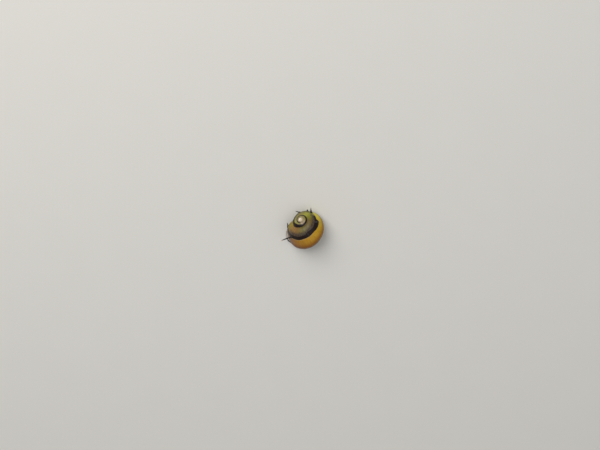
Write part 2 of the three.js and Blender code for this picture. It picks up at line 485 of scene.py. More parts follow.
class Signal:
    """A number, point or colour that the nodes of a material work out. Sums on it add nodes."""

    def __init__(self, graph: "Graph", socket: NodeSocket) -> None:
        """Wraps an output of the graph."""
        self.graph = graph
        self.socket = socket

    def __add__(self, other: "Signal | float") -> "Signal":
        """Sum of two numbers."""
        return self.graph.math("ADD", self, other)

    def __sub__(self, other: "Signal | float") -> "Signal":
        """Difference of two numbers."""
        return self.graph.math("SUBTRACT", self, other)

    def __mul__(self, other: "Signal | float") -> "Signal":
        """Product of two numbers."""
        return self.graph.math("MULTIPLY", self, other)

    def rise(self, low: float, high: float, start: float = 0.0, end: float = 1.0) -> "Signal":
        """Change from start at low to end at high, level at both ends. Low may lie above high."""
        inputs = {"Value": self, "From Min": low, "From Max": high, "To Min": start, "To Max": end}
        return self.graph.read("MapRange", "Result", inputs, interpolation_type="SMOOTHSTEP")

    def past(self, edge: float, soft: float) -> "Signal":
        """Rise from 0 to 1 across a soft edge, or a fall where its softness is negative."""
        return self.rise(edge - soft, edge + soft)

    def within(self, start: float, full: float, fading: float, end: float) -> "Signal":
        """Rise from 0 at start to 1 at full, and fall to 0 from fading to end."""
        return self.rise(start, full) * self.rise(end, fading)

    def scaled(self, by: float, plus: float) -> "Signal":
        """This number multiplied, with a level added."""
        return self * by + plus

    def stirred(self, cloud: "Signal", reach: float) -> "Signal":
        """This number made uneven by a random one."""
        return self + (cloud - 0.5) * reach


class Graph:
    """Lays out the nodes of one material round a Principled shader."""

    def __init__(self, name: str) -> None:
        """Starts an empty material.

        Args:
            name: name of the material.
        """
        self.material = bpy.data.materials.new(name)
        self.material.use_nodes = True
        self.tree = self.material.node_tree
        self.shader = next(node for node in self.tree.nodes if node.type == "BSDF_PRINCIPLED")

    def feed(self, socket: NodeSocket, value: object) -> None:
        """Links a socket to a signal, or sets its value.

        Args:
            socket: the input.
            value: a signal, or a plain value.
        """
        if isinstance(value, Signal):
            self.tree.links.new(value.socket, socket)
        else:
            socket.default_value = value

    def node(self, kind: str, inputs: Inputs, **settings: object) -> Node:
        """Adds one node.

        Args:
            kind: the node's type, without the leading ShaderNode.
            inputs: what its inputs take, by name or number.
            settings: properties of the node.

        Returns:
            The node.
        """
        node = self.tree.nodes.new("ShaderNode" + kind)
        for key, value in settings.items():
            setattr(node, key, value)
        for key, value in inputs.items():
            self.feed(node.inputs[key], value)
        return node

    def read(self, kind: str, output: str | int, inputs: Inputs, **settings: object) -> Signal:
        """One output of a new node."""
        return Signal(self, self.node(kind, inputs, **settings).outputs[output])

    def math(self, operation: str, *values: Signal | float) -> Signal:
        """Result of one sum on numbers."""
        return self.read("Math", 0, dict(enumerate(values)), operation=operation)

    def vector(self, operation: str, output: str, *values: Signal | Vector) -> Signal:
        """Result of one sum on points."""
        return self.read("VectorMath", output, dict(enumerate(values)), operation=operation)

    def place(self) -> Signal:
        """Point of the surface in metres."""
        return self.read("TexCoord", "Object", {})

    def growth(self) -> tuple[Signal, Signal]:
        """Age in turns and share of the wall, from the growth map."""
        split = self.node("SeparateXYZ", {0: self.read("UVMap", "UV", {}, uv_map=GROWTH_MAP)})
        return Signal(self, split.outputs["X"]), Signal(self, split.outputs["Y"])

    def noise(self, where: Signal, scale: float, detail: float = 2.0, roughness: float = 0.5) -> Signal:
        """Cloudy random number from about 0.3 to 0.7, with so many lumps in each unit of the place."""
        inputs = {"Vector": where, "Scale": scale, "Detail": detail, "Roughness": roughness}
        return self.read("TexNoise", "Fac", inputs)

    def grid(self, first: Signal, second: Signal, lumps: Pair) -> Signal:
        """Flat place for a pattern with so many lumps in each unit of two numbers."""
        return self.read("CombineXYZ", 0, {0: first * lumps[0], 1: second * lumps[1]})

    def blend(self, share: Signal, under: Signal | Paint, over: Signal | Paint, mode: str = "MIX") -> Signal:
        """One colour laid over another, by the share of the upper one that shows."""
        under, over = (colour if isinstance(colour, Signal) else linear(colour) for colour in (under, over))
        return self.read("Mix", 2, {0: share, 6: under, 7: over}, data_type="RGBA", blend_type=mode)

    def ramp(self, value: Signal, stops: Stops, whole: float = 1.0) -> Signal:
        """Colour read from a row of colours.

        Args:
            value: where to read the row.
            stops: places and colours along the row.
            whole: length of the row, in units of the value.

        Returns:
            The colour.
        """
        node = self.node("ValToRGB", {"Fac": self.math("DIVIDE", value, whole)})
        elements = node.color_ramp.elements
        (start, first), *between, (end, last) = stops
        elements[0].position, elements[0].color = start / whole, linear(first)
        elements[1].position, elements[1].color = end / whole, linear(last)
        for where, paint in between:
            elements.new(where / whole).color = linear(paint)
        return Signal(self, node.outputs["Color"])

    def bump(self, height: Signal, depth: float, over: Signal | None = None) -> Signal:
        """Fine relief.

        Args:
            height: height of the relief, from 0 to 1.
            depth: depth of the relief in millimetres.
            over: relief that this one lies on.

        Returns:
            The normal.
        """
        inputs = {"Height": height, "Distance": depth * MM, "Strength": 1.0}
        if over is not None:
            inputs["Normal"] = over
        return self.read("Bump", "Normal", inputs)

    def shaded(self, sockets: Inputs) -> Material:
        """Feeds the shader and gives the finished material.

        Args:
            sockets: what the shader's sockets take, by name.

        Returns:
            The material.
        """
        for name, value in sockets.items():
            self.feed(self.shader.inputs[name], value)
        return self.material


def linear(paint: Paint) -> tuple[float, float, float, float]:
    """Linear light of a screen colour told from 0 to 255, with full cover."""
    shares = (value / 255.0 for value in paint)
    return (*(s / 12.92 if s <= 0.04045 else ((s + 0.055) / 1.055) ** 2.4 for s in shares), 1.0)


@dataclass(frozen=True)
class Wall:
    """What the paint of the wall is told by. Inner and outer are where the band's two edges read it."""

    place: Signal
    age: Signal
    along: Signal
    lines: Signal
    fine: Signal
    cloud: Signal
    fleck: Signal
    where: Signal
    inner: Signal
    outer: Signal


@dataclass(frozen=True)
class ShellFinish:
    """Lime wall painted by age and by place on the wall, with a chalky worn apex.

    From the suture outwards come a speckled slope, a mottled violet zone that is partly a painted sheen of
    the sky's reflection, the black shoulder band that carries the spines, the golden flank, a second black
    band and the cream base. Rows of colours and ages are told in turns back from the lip. A rise is told as
    low, high and, unless they are 0 and 1, its values there. Each noise has a scale, a detail and a
    roughness, and a stir is how far a noise pushes an edge.
    """

    section: Section
    spiral: Spiral
    slope: Stops = (
        (0.00, (138, 120, 42)), (0.07, (132, 100, 46)), (0.15, (124, 92, 50)), (0.25, (92, 84, 22)),
        (0.34, (86, 72, 28)), (0.45, (92, 74, 24)), (0.52, (108, 104, 20)), (0.61, (140, 140, 52)),
        (0.73, (118, 110, 62)), (0.88, (116, 108, 64)), (1.00, (134, 128, 72)),
    )
    spire: Stops = (
        (1.00, (136, 130, 72)), (1.12, (134, 130, 68)), (1.22, (114, 104, 72)), (1.38, (146, 128, 98)),
        (1.50, (118, 110, 54)), (1.75, (136, 126, 84)), (2.00, (140, 128, 92)), (2.30, (150, 136, 106)),
        (3.00, (184, 168, 144)),
    )
    spire_end: float = 3.0
    flank: Stops = (
        (0.00, (92, 58, 22)), (0.12, (138, 90, 30)), (0.24, (170, 124, 32)), (0.33, (182, 138, 34)),
        (0.42, (184, 146, 28)), (0.49, (192, 162, 28)), (0.55, (206, 192, 34)), (0.61, (204, 196, 56)),
        (0.80, (156, 156, 60)), (1.00, (148, 146, 70)),
    )
    speck: Paint = (74, 66, 40)
    # Colour of the mottled violet zone, partly real colour and partly a painted reflection of the sky's sheen
    # on the shoulder.
    violet: Paint = (70, 62, 60)
    soot: Paint = (38, 29, 23)
    black: Paint = (24, 12, 6)
    shade: Paint = (206, 180, 160)
    seam: Paint = (176, 156, 108)
    streak: Paint = (150, 110, 60)
    line: Paint = (150, 128, 90)
    ember: Paint = (196, 160, 120)
    base: Paint = (186, 170, 118)
    callus: Paint = (214, 208, 176)
    blush: Paint = (168, 140, 124)
    chalk: Paint = (238, 228, 206)

    line_lumps: Pair = (74.0, 3.0)
    line_noise: Triple = (1.0, 3.0, 0.6)
    fine_lumps: Pair = (230.0, 7.0)
    fine_noise: Triple = (1.0, 2.0, 0.6)
    cloud_noise: Triple = (420.0, 3.0, 0.55)
    fleck_noise: Triple = (2300.0, 3.0, 0.65)
    grain_noise: Triple = (5600.0, 2.0, 0.6)
    line_stir: float = 0.014
    cloud_stir: float = 0.022
    mottle_and_sheen_stir: float = 0.09
    gap_stir: float = 0.05
    worn_stir: float = 0.0018

    band_top: Pair = (7.95, 3.38)
    band_top_old: Pair = (6.3, 2.05)
    band_low: Pair = (9.0, 5.0)
    band_soft: Pair = (0.008, 0.004)
    # Places of the mottled violet zone, which is partly a painted sheen of the sky's reflection.
    mottle_and_sheen_places: tuple[Pair, Pair] = ((6.1, 1.95), (7.3, 2.8))
    shade_places: tuple[Pair, Pair] = ((9.9, 7.2), (10.85, 10.6))
    second_band: tuple[Pair, Pair] = ((10.6, 12.2), (9.4, 14.1))
    second_soft: float = 0.006
    base_edge: Pair = (-0.004, 0.01)
    gold_soft: float = 0.003
    seam_reach: Pair = (0.017, 0.006)
    suture_shares: Rise = (0.010, 0.004)
    blush_place: Pair = (4.6, 1.55)
    blush_age: float = 466.0
    blush_reach: Rise = (0.0010, 0.0003, 0.0, 0.8)
    worn_shift: Triple = (-0.34, -0.3, 0.1)
    worn_reach: Rise = (0.00095, 0.00020)

    spire_ages: Rise = (0.94, 1.02)
    # Ages of the mottled violet zone with its painted sheen.
    mottle_and_sheen_ages: Rise = (0.80, 0.68)
    mottle_and_sheen_strong_ages: Rise = (0.60, 0.50, 0.35, 0.85)
    mottle_and_sheen_lip_ages: Rise = (0.03, 0.10, 0.2, 1.0)
    old_band_ages: Rise = (0.70, 0.84)
    thick_ages: Rise = (1.0, 1.1, 1.22, 1.40)
    thick_width: float = 0.034
    soiled_ages: Rise = (0.25, 0.30, 0.31, 0.37)
    soiled_width: float = 0.026
    pause_ages: Rise = (0.500, 0.482)
    step_widths: Rise = (0.32, 0.475, 0.018, 0.068)
    narrow_widths: Rise = (0.9, 0.7, 0.0, 0.010)
    band_fade_ages: Rise = (2.45, 2.05, 0.1, 1.0)
    gap_ages: Rise = (0.530, 0.548, 0.586, 0.600)
    gap_clear: float = 0.75
    gap_seam: float = 0.4
    seam_ages: Rise = (0.05, 0.12, 0.28, 0.36)
    suture_ages: Rise = (1.4, 1.1)
    callus_ages: Rise = (-0.3, -0.6)

    speck_flecks: Rise = (0.50, 0.66, 0.0, 0.45)
    mottle_and_sheen_flecks: Rise = (0.42, 0.6)
    seam_lines: Rise = (0.36, 0.6, 0.3, 0.8)
    streak_lines: Rise = (0.52, 0.74, 0.0, 0.30)
    fine_lines: Rise = (0.42, 0.66, 0.0, 0.22)
    ember_lines: Rise = (0.5, 0.3, 0.0, 0.10)
    soot_flecks: Rise = (0.5, 0.7, 0.0, 0.4)
    callus_clouds: Rise = (0.4, 0.62)
    blush_clouds: Rise = (0.36, 0.56)
    chalk_flecks: Rise = (0.42, 0.62)
    roughness: Pair = (0.22, 0.30)
    chalk_roughness: float = 0.3
    reliefs: Pair = (0.008, 0.018)

    def read_wall(self, g: Graph) -> Wall:
        """Works out what the paint is told by.

        Args:
            g: the material.

        Returns:
            The signals. The band is broader on the old whorls, and steps out where growth once paused.
        """
        at = self.section.share
        place = g.place()
        age, along = g.growth()
        lines = g.noise(g.grid(age, along, self.line_lumps), *self.line_noise)
        fine = g.noise(g.grid(age, along, self.fine_lumps), *self.fine_noise)
        cloud = g.noise(place, *self.cloud_noise)
        where = along.stirred(lines, self.line_stir).stirred(cloud, self.cloud_stir)
        old = age.rise(*self.old_band_ages) * (at(self.band_top) - at(self.band_top_old))
        thick = age.within(*self.thick_ages) * self.thick_width
        soiled = age.within(*self.soiled_ages) * self.soiled_width
        step = age.rise(*self.pause_ages) * age.rise(*self.step_widths)
        outer = where - step + age.rise(*self.narrow_widths)
        fleck = g.noise(place, *self.fleck_noise)
        inner = where + old + (thick + soiled)
        return Wall(place, age, along, lines, fine, cloud, fleck, where, inner, outer)

    def upper(self, g: Graph, w: Wall) -> Signal:
        """Speckled slope with its mottled violet zone, which is partly a painted sheen of the sky's
        reflection, and the whorls of the spire.

        Args:
            g: the material.
            w: what the paint is told by.

        Returns:
            The colour.
        """
        spire = g.ramp(w.age, self.spire, self.spire_end)
        colour = g.blend(w.age.rise(*self.spire_ages), g.ramp(w.age, self.slope), spire)
        colour = g.blend(w.fleck.rise(*self.speck_flecks), colour, self.speck)
        # Mottled violet zone inside the shoulder band: partly real colour, partly a painted sheen that stands
        # for the sky's reflection.
        strength = w.age.rise(*self.mottle_and_sheen_strong_ages) * w.age.rise(*self.mottle_and_sheen_lip_ages)
        mottle = w.where.stirred(w.fleck, self.mottle_and_sheen_stir)
        zone = mottle.rise(*map(self.section.share, self.mottle_and_sheen_places)) * w.age.rise(*self.mottle_and_sheen_ages)
        mottle_and_sheen = g.blend(w.fleck.rise(*self.mottle_and_sheen_flecks), self.violet, self.soot)
        return g.blend(zone * strength, colour, mottle_and_sheen)

    def lower(self, g: Graph, w: Wall) -> Signal:
        """Golden flank, shaded towards the base, with a pale seam under the shoulder band.

        Args:
            g: the material.
            w: what the paint is told by.

        Returns:
            The colour.
        """
        shaded = w.along.rise(*map(self.section.share, self.shade_places))
        colour = g.blend(shaded, g.ramp(w.age, self.flank), self.shade, "MULTIPLY")
        low = self.section.share(self.band_low)
        seam = w.outer.rise(*(low + reach for reach in self.seam_reach)) * w.age.within(*self.seam_ages)
        return g.blend(seam * w.lines.rise(*self.seam_lines), colour, self.seam)

    def banded(self, g: Graph, w: Wall) -> Signal:
        """Slope, flank and base under growth lines, with the dark bands and the break in the upper one.

        Args:
            g: the material.
            w: what the paint is told by.

        Returns:
            The colour.
        """
        top, low, second, base = map(self.section.share, (self.band_top, self.band_low, *self.second_band))
        colour = g.blend(w.outer.past(low, self.gold_soft), self.upper(g, w), self.lower(g, w))
        top_soft, low_soft = self.band_soft
        shoulder = w.inner.past(top, top_soft) * w.outer.past(low, -low_soft)
        shoulder = shoulder * w.age.rise(*self.band_fade_ages)
        gap = w.age.stirred(w.cloud, self.gap_stir).within(*self.gap_ages)
        colour = g.blend(shoulder * gap * self.gap_seam, colour, self.seam)
        colour = g.blend(w.where.rise(*(base + reach for reach in self.base_edge)), colour, self.base)
        colour = g.blend(w.lines.rise(*self.streak_lines), colour, self.streak, "MULTIPLY")
        colour = g.blend(w.fine.rise(*self.fine_lines), colour, self.line, "MULTIPLY")
        colour = g.blend(w.fine.rise(*self.ember_lines), colour, self.ember)
        dark = w.where.past(second, self.second_soft) * w.where.past(base, -self.second_soft)
        suture = w.along.rise(*self.suture_shares) * w.age.rise(*self.suture_ages)
        dark = g.math("MAXIMUM", suture, dark)
        dark = g.math("MAXIMUM", shoulder * (gap * -self.gap_clear + 1.0), dark)
        return g.blend(dark, colour, g.blend(w.fleck.rise(*self.soot_flecks), self.black, self.soot))

    def worn(self, g: Graph, w: Wall) -> Signal:
        """How chalky the wall is, round the coiling axis.

        Args:
            g: the material.
            w: what the paint is told by.

        Returns:
            A number from 0 to 1.
        """
        middle = (self.spiral.top + Vector(self.worn_shift)) * MM
        off = g.vector("SUBTRACT", "Vector", w.place, middle)
        across = g.vector("CROSS_PRODUCT", "Vector", off, self.spiral.axis)
        return g.vector("LENGTH", "Value", across).stirred(w.cloud, self.worn_stir).rise(*self.worn_reach)

    def build(self) -> Material:
        """Makes the finish.

        Returns:
            The material of the outer wall.
        """
        g = Graph("shell_wall")
        w = self.read_wall(g)
        callus = g.blend(w.cloud.rise(*self.callus_clouds), self.callus, self.base)
        colour = g.blend(w.age.rise(*self.callus_ages), self.banded(g, w), callus)
        spot = self.spiral.point(self.blush_place, self.blush_age) * MM
        rosy = g.vector("DISTANCE", "Value", w.place, spot).rise(*self.blush_reach)
        colour = g.blend(rosy * w.cloud.rise(*self.blush_clouds), colour, self.blush)
        chalky = self.worn(g, w)
        grain_relief, fine_relief = self.reliefs
        colour = g.blend(chalky, colour, g.blend(w.fleck.rise(*self.chalk_flecks), self.chalk, self.blush))
        return g.shaded({
            "Base Color": colour,
            "Roughness": chalky * self.chalk_roughness + w.fine.scaled(*self.roughness),
            "Normal": g.bump(g.noise(w.place, *self.grain_noise), grain_relief, g.bump(w.fine, fine_relief)),
            "Specular IOR Level": 0.2,
            "Coat Weight": 0.04,
            "Coat Roughness": 0.15,
        })


@dataclass(frozen=True)
class MouthFinish:
    """Smooth glaze of the lip, the shelf and the hollow."""

    glaze: Paint = (206, 216, 204)
    stain: Paint = (198, 178, 112)
    stain_clouds: Rise = (0.48, 0.66)
    cloud_noise: Pair = (300.0, 3.0)
    grain_scale: float = 1500.0
    roughness: Pair = (0.2, 0.16)
    relief: float = 0.01

    def build(self) -> Material:
        """Makes the finish.

        Returns:
            The material of the shell's mouth.
        """
        g = Graph("shell_mouth")
        cloud = g.noise(g.place(), *self.cloud_noise)
        return g.shaded({
            "Base Color": g.blend(cloud.rise(*self.stain_clouds), self.glaze, self.stain),
            "Roughness": cloud.scaled(*self.roughness),
            "Normal": g.bump(g.noise(g.place(), self.grain_scale), self.relief),
            "Coat Weight": 0.4,
            "Coat Roughness": 0.08,
        })


@dataclass(frozen=True)
class SpineFinish:
    """Horny dark spines with pale tips. The row of colours runs from root to tip."""

    horn: Stops = (
        (0.0, (20, 13, 9)), (0.45, (34, 25, 18)), (0.66, (34, 25, 18)), (0.86, (202, 184, 166)),
        (1.0, (202, 184, 166)),
    )
    grain_noise: Pair = (2600.0, 3.0)
    grain_stir: float = 0.2
    ring_lumps: Pair = (22.0, 0.4)
    roughness: Pair = (0.3, 0.3)
    relief: float = 0.03

    def build(self) -> Material:
        """Makes the finish.

        Returns:
            The material of the spines.
        """
        g = Graph("spine_horn")
        _, along = g.growth()
        grain = g.noise(g.place(), *self.grain_noise)
        return g.shaded({
            "Base Color": g.ramp(along.stirred(grain, self.grain_stir), self.horn),
            "Roughness": grain.scaled(*self.roughness),
            "Normal": g.bump(g.noise(g.grid(along, grain, self.ring_lumps), 1.0), self.relief),
            "Specular IOR Level": 0.3,
        })


@dataclass(frozen=True)
class SkinFinish:
    """Moist mottled skin, paler underneath, with pale tips to the tentacles."""

    ground: Paint = (92, 86, 74)
    dark: Paint = (26, 24, 22)
    fleck: Paint = (176, 168, 138)
    sole: Paint = (176, 167, 144)
    sole_shade: Paint = (128, 118, 100)
    tip: Paint = (178, 162, 142)
    tip_mark: str = "Tip"
    cloud_noise: Triple = (700.0, 4.0, 0.6)
    spot_noise: Triple = (2600.0, 3.0, 0.65)
    cell_scale: float = 3200.0
    ground_clouds: Rise = (0.36, 0.62)
    dark_spots: Rise = (0.5, 0.62, 0.0, 0.7)
    fleck_cells: Rise = (0.22, 0.1, 0.0, 0.55)
    shade_clouds: Rise = (0.38, 0.62)
    sole_height: Rise = (0.00042, 0.0001)
    sole_stir: float = 0.0006
    tip_shares: Rise = (0.56, 0.74)
    roughness: Pair = (0.3, 0.2)
    spot_relief: float = 0.05
    cell_relief: float = 0.03

    def build(self) -> Material:
        """Makes the finish.

        Returns:
            The material of the skin.
        """
        g = Graph("skin")
        place = g.place()
        cloud = g.noise(place, *self.cloud_noise)
        spots = g.noise(place, *self.spot_noise)
        cells = g.read("TexVoronoi", "Distance", {"Vector": place, "Scale": self.cell_scale})
        colour = g.blend(cloud.rise(*self.ground_clouds), self.dark, self.ground)
        colour = g.blend(spots.rise(*self.dark_spots), colour, self.dark)
        colour = g.blend(cells.rise(*self.fleck_cells), colour, self.fleck)
        height = g.read("SeparateXYZ", "Z", {0: place}).stirred(cloud, self.sole_stir)
        sole = g.blend(cloud.rise(*self.shade_clouds), self.sole, self.sole_shade)
        colour = g.blend(height.rise(*self.sole_height), colour, sole)
        tip = g.read("Attribute", "Fac", {}, attribute_name=self.tip_mark)
        return g.shaded({
            "Base Color": g.blend(tip.rise(*self.tip_shares), colour, self.tip),
            "Roughness": spots.scaled(*self.roughness),
            "Normal": g.bump(spots, self.spot_relief, g.bump(cells, self.cell_relief)),
            "Subsurface Weight": 0.12,
            "Subsurface Radius": (1.0, 0.7, 0.5),
            "Subsurface Scale": 0.3 * MM,
            "Coat Weight": 0.35,
            "Coat Roughness": 0.1,
        })


@dataclass(frozen=True)
class EyeFinish:
    """Wet black bead with faint brown clouds."""

    black: Paint = (10, 9, 10)
    brown: Paint = (44, 34, 26)
    brown_clouds: Rise = (0.5, 0.7)
    cloud_scale: float = 4000.0

    def build(self) -> Material:
        """Makes the finish.

        Returns:
            The material of the eyes.
        """
        g = Graph("eye_bead")
        cloud = g.noise(g.place(), self.cloud_scale)
        return g.shaded({
            "Base Color": g.blend(cloud.rise(*self.brown_clouds), self.black, self.brown),
            "Roughness": 0.16,
            "Coat Weight": 0.6,
            "Coat Roughness": 0.04,
        })


@dataclass(frozen=True)
class OperculumFinish:
    """Smooth lime plate with growth arcs round a hub on its straight edge."""

    hub: Vector
    plate: Paint = (176, 160, 132)
    arc: Paint = (110, 92, 76)
    cloud_noise: Pair = (900.0, 3.0)
    arc_lumps: Pair = (6000.0, 2.4)
    arc_noise: Pair = (1.0, 3.0)
    arc_rise: Rise = (0.42, 0.64)
    roughness: Pair = (0.25, 0.25)
    relief: float = 0.03

    def build(self) -> Material:
        """Makes the finish.

        Returns:
            The material of the operculum.
        """
        g = Graph("operculum_plate")
        away = g.vector("DISTANCE", "Value", g.place(), self.hub * MM)
        cloud = g.noise(g.place(), *self.cloud_noise)
        arcs = g.noise(g.grid(away, cloud, self.arc_lumps), *self.arc_noise)
        return g.shaded({
            "Base Color": g.blend(arcs.rise(*self.arc_rise), self.plate, self.arc),
            "Roughness": cloud.scaled(*self.roughness),
            "Normal": g.bump(arcs, self.relief),
        })


@dataclass
class Shell:
    """The coiled shell: whorls, worn apex, glazed mouth and the spines of the shoulder."""

    spiral: Spiral = field(default_factory=Spiral)
    section: Section = field(default_factory=Section)
    last_age: float = 1440.0
    step: float = 1.5
    step_early: float = 2.5
    length_turn: float = 120.0
    early_age: float = 390.0
    tuck: float = 0.96
    core_radius: float = 0.5
    core_length: float = 13.0
    core_segments: int = 24
    cap_radii: Triple = (0.62, 0.62, 0.36)
    cap_faces: tuple[int, int] = (64, 32)
    cap_drop: float = 0.42
    worn_reach: float = 2.2
    worn_depth: float = 0.12
    worn_shares: Triple = (1.0, 0.7, 0.45)
    worn_full: float = 0.25
    worn_rounds: int = 14
    worn_factor: float = 0.5
    pit_scale: float = 1.6
    pit_noise: tuple[float, float, int] = (0.8, 2.1, 4)
    callus_centre: Triple = (-0.2, -0.3, 0.9)
    callus_radii: Triple = (5.7, 7.1, 3.6)
    callus_faces: tuple[int, int] = (160, 80)
    callus_age: float = -1.0
    filling_share: float = 0.02
    lip_back: Pair = (7.5, 0.9)
    lip_front: Pair = (-10.0, 2.1)
    lip_round: float = 0.34
    lip_rows: tuple[float, ...] = (0.34, 0.23, 0.14, 0.07, 0.02, 0.0)
    cut_snap: float = 0.002
    hollow_centre: Pair = (-1.0, -1.8)
    hollow_radii: Pair = (4.75, 6.85)
    hollow_height: float = 2.55
    hollow_round: float = 0.25
    hollow_fullness: float = 0.8
    hollow_least: float = 0.05
    hollow_steps: int = 14
    hollow_segments: int = 144
    band_middle: Pair = (8.55, 4.25)
    band_nudges: Pair = (0.5, 0.02)
    spine_sunk: float = 0.55
    spine_tip: float = 0.22
    spine_rings: int = 14
    spine_segments: int = 20
    spine_ease: float = 1.6
    spine_flare: Pair = (0.45, 0.35)
    spine_round: tuple[int, float] = (14, 0.06)
    spine_flatness: float = 0.84
    spine_bend: float = 0.05
    spines: tuple[Spine, ...] = (
        Spine(age=-8.0, length=1.6, width=0.72, lean=60.0, lift=20.0),
        Spine(age=40.0, length=5.8, width=0.95, lean=10.0, lift=-20.0),
        Spine(age=107.0, length=0.7, width=0.8, lift=-60.0),
        Spine(age=163.0, length=1.8, width=1.05, lift=-36.0),
        Spine(age=219.0, length=2.3, width=0.85, lean=-14.0, lift=10.0),
        Spine(age=239.0, length=0.8, width=0.85),
        Spine(age=281.0, length=1.9, width=0.7, lean=-48.0, lift=20.0),
    )

    def grown_length(
        self, start: float, stop: float, step: float, outline: Sequence[tuple[Pair, float]], tucked: bool
    ) -> Object:
        """One length of whorl: the section, drawn out ring by ring along the spiral and closed at both ends.

        Args:
            start: youngest age.
            stop: oldest age.
            step: degrees of turn between rings.
            outline: places of the closed section, each with its share of the wall.
            tucked: whether one more ring at the young end lies inside the length before this one.

        Returns:
            A scratch object whose map holds age in turns and share of the wall.
        """
        points = [self.spiral.section_point(place) for place, _ in outline]
        ages = [start + step * number for number in range(round((stop - start) / step) + 1)]
        if tucked:
            ages.insert(0, start - step)
        bm = bmesh.new()
        age_mark = bm.verts.layers.float.new("age")
        number_mark = bm.verts.layers.int.new("number")
        ring = first_ring = [bm.verts.new(point) for point in points]
        for number, vert in enumerate(ring):
            vert[number_mark] = number
        edges = first = [bm.edges.new(pair) for pair in zip(ring, ring[1:] + ring[:1])]
        for age in ages:
            if age > ages[0]:
                ring, edges, _ = drawn_out(bm, edges)
            carried = self.spiral.ring(age)
            for vert in ring:
                vert.co = carried @ points[vert[number_mark]]
                vert[age_mark] = age / TURN
        if tucked:
            middle = sum((vert.co for vert in first_ring), Vector()) / len(first_ring)
            size = (self.tuck, self.tuck, self.tuck)
            bmesh.ops.scale(bm, vec=size, space=Matrix.Translation(-middle), verts=first_ring)
        bmesh.ops.edgeloop_fill(bm, edges=first)
        bmesh.ops.edgeloop_fill(bm, edges=edges)
        bmesh.ops.recalc_face_normals(bm, faces=bm.faces)
        map_growth(bm, bm.faces, lambda vert: (vert[age_mark], outline[vert[number_mark]][1]))
        return scratch(bm, "whorl")

    def lengths(self) -> list[Object]:
        """Grows the whorls from past the lip to the apex.

        Returns:
            Lengths of whorl, each tucked into the younger one before it.
        """
        wall = [((point.x, point.y), share) for point, share in zip(self.section.wall, self.section.shares)]
        core = self.section.core_top
        whole = [(core, 0.0), *wall]
        foot = self.section.share(self.section.band_foot)
        upper = [(place, share) for place, share in wall if share < foot]
        upper = [(core, 0.0), *upper, ((core[0], upper[-1][0][1]), foot)]
        made = [self.grown_length(-self.spiral.closing_turn, self.length_turn, self.step, whole, False)]
        age = self.length_turn
        while age < self.last_age:
            stop = min(age + self.length_turn, self.last_age)
            step, outline = (self.step, whole) if age < self.early_age else (self.step_early, upper)
            made.append(self.grown_length(age, stop, step, outline, True))
            age = stop
        return made

    def fillings(self) -> list[Object]:
        """Makes what fills the coil, each of one age.

        Returns:
            Core of the coiling axis, cap of the apex and callus of the mouth.
        """
        rod = bmesh.new()
        radius, length = self.core_radius, self.core_length
        bmesh.ops.create_cone(
            rod, cap_ends=True, segments=self.core_segments, radius1=radius, radius2=radius, depth=length
        )
        bmesh.ops.translate(rod, vec=(0.0, 0.0, -length / 2.0), verts=rod.verts)
        cap = ovoid(Vector(), self.cap_radii, *self.cap_faces)
        turned = standing(self.spiral.top - self.spiral.axis * self.cap_drop, self.spiral.axis)
        for bm in (rod, cap):
            bmesh.ops.transform(bm, matrix=turned, verts=bm.verts)
        callus = ovoid(self.callus_centre, self.callus_radii, *self.callus_faces)
        oldest = self.last_age / TURN
        made = []
        for bm, age in ((rod, oldest), (cap, oldest), (callus, self.callus_age)):
            map_growth(bm, bm.faces, lambda _, age=age: (age, self.filling_share))
            made.append(scratch(bm, "filling"))
        return made

    def wear(self, bm: BMesh) -> None:
        """Wears down the old whorls round the apex, and pits them.

        Args:
            bm: mesh of the whole shell.
        """
        top, axis, reach = self.spiral.top, self.spiral.axis, self.worn_reach
        for share in self.worn_shares:
            old = [vert for vert in bm.verts if (vert.co - top).length < reach * share]
            for _ in range(self.worn_rounds):
                bmesh.ops.smooth_vert(
                    bm, verts=old, factor=self.worn_factor, use_axis_x=True, use_axis_y=True, use_axis_z=True
                )
        for vert in bm.verts:
            worn = 1.0 - smooth_step((vert.co - top).length, reach * self.worn_full, reach)
            if worn > 0.0:
                rough = noise.fractal(vert.co * self.pit_scale, *self.pit_noise)
                vert.co += axis * worn * self.worn_depth * rough

    def lip_plane(self) -> tuple[Vector, Vector]:
        """Plane that the lip lies in.

        Returns:
            A point of it, and its upward direction.
        """
        (back_y, back_z), (front_y, front_z) = self.lip_back, self.lip_front
        slope = math.atan((front_z - back_z) / (back_y - front_y))
        return Vector((0.0, back_y, back_z)), Vector((0.0, math.sin(slope), math.cos(slope)))

    def cut_mouth(self, bm: BMesh) -> list[BMEdge]:
        """Cuts the shell at its lip and rounds the cut edge inwards.

        Args:
            bm: mesh of the whole shell.

        Returns:
            Edges of the open mouth.
        """
        point, up = self.lip_plane()
        for height in self.lip_rows:
            cut(bm, point + up * height, up, height == 0.0, self.cut_snap)
        bm.normal_update()
        for vert in bm.verts:
            height = (vert.co - point).dot(up)
            if height < self.lip_round:
                out = vert.normal - up * vert.normal.dot(up)
                short = self.lip_round - height
                inwards = self.lip_round - math.sqrt(max(self.lip_round ** 2 - short ** 2, 0.0))
                vert.co += out.normalized() * -inwards
        return [edge for edge in bm.edges if edge.is_boundary]

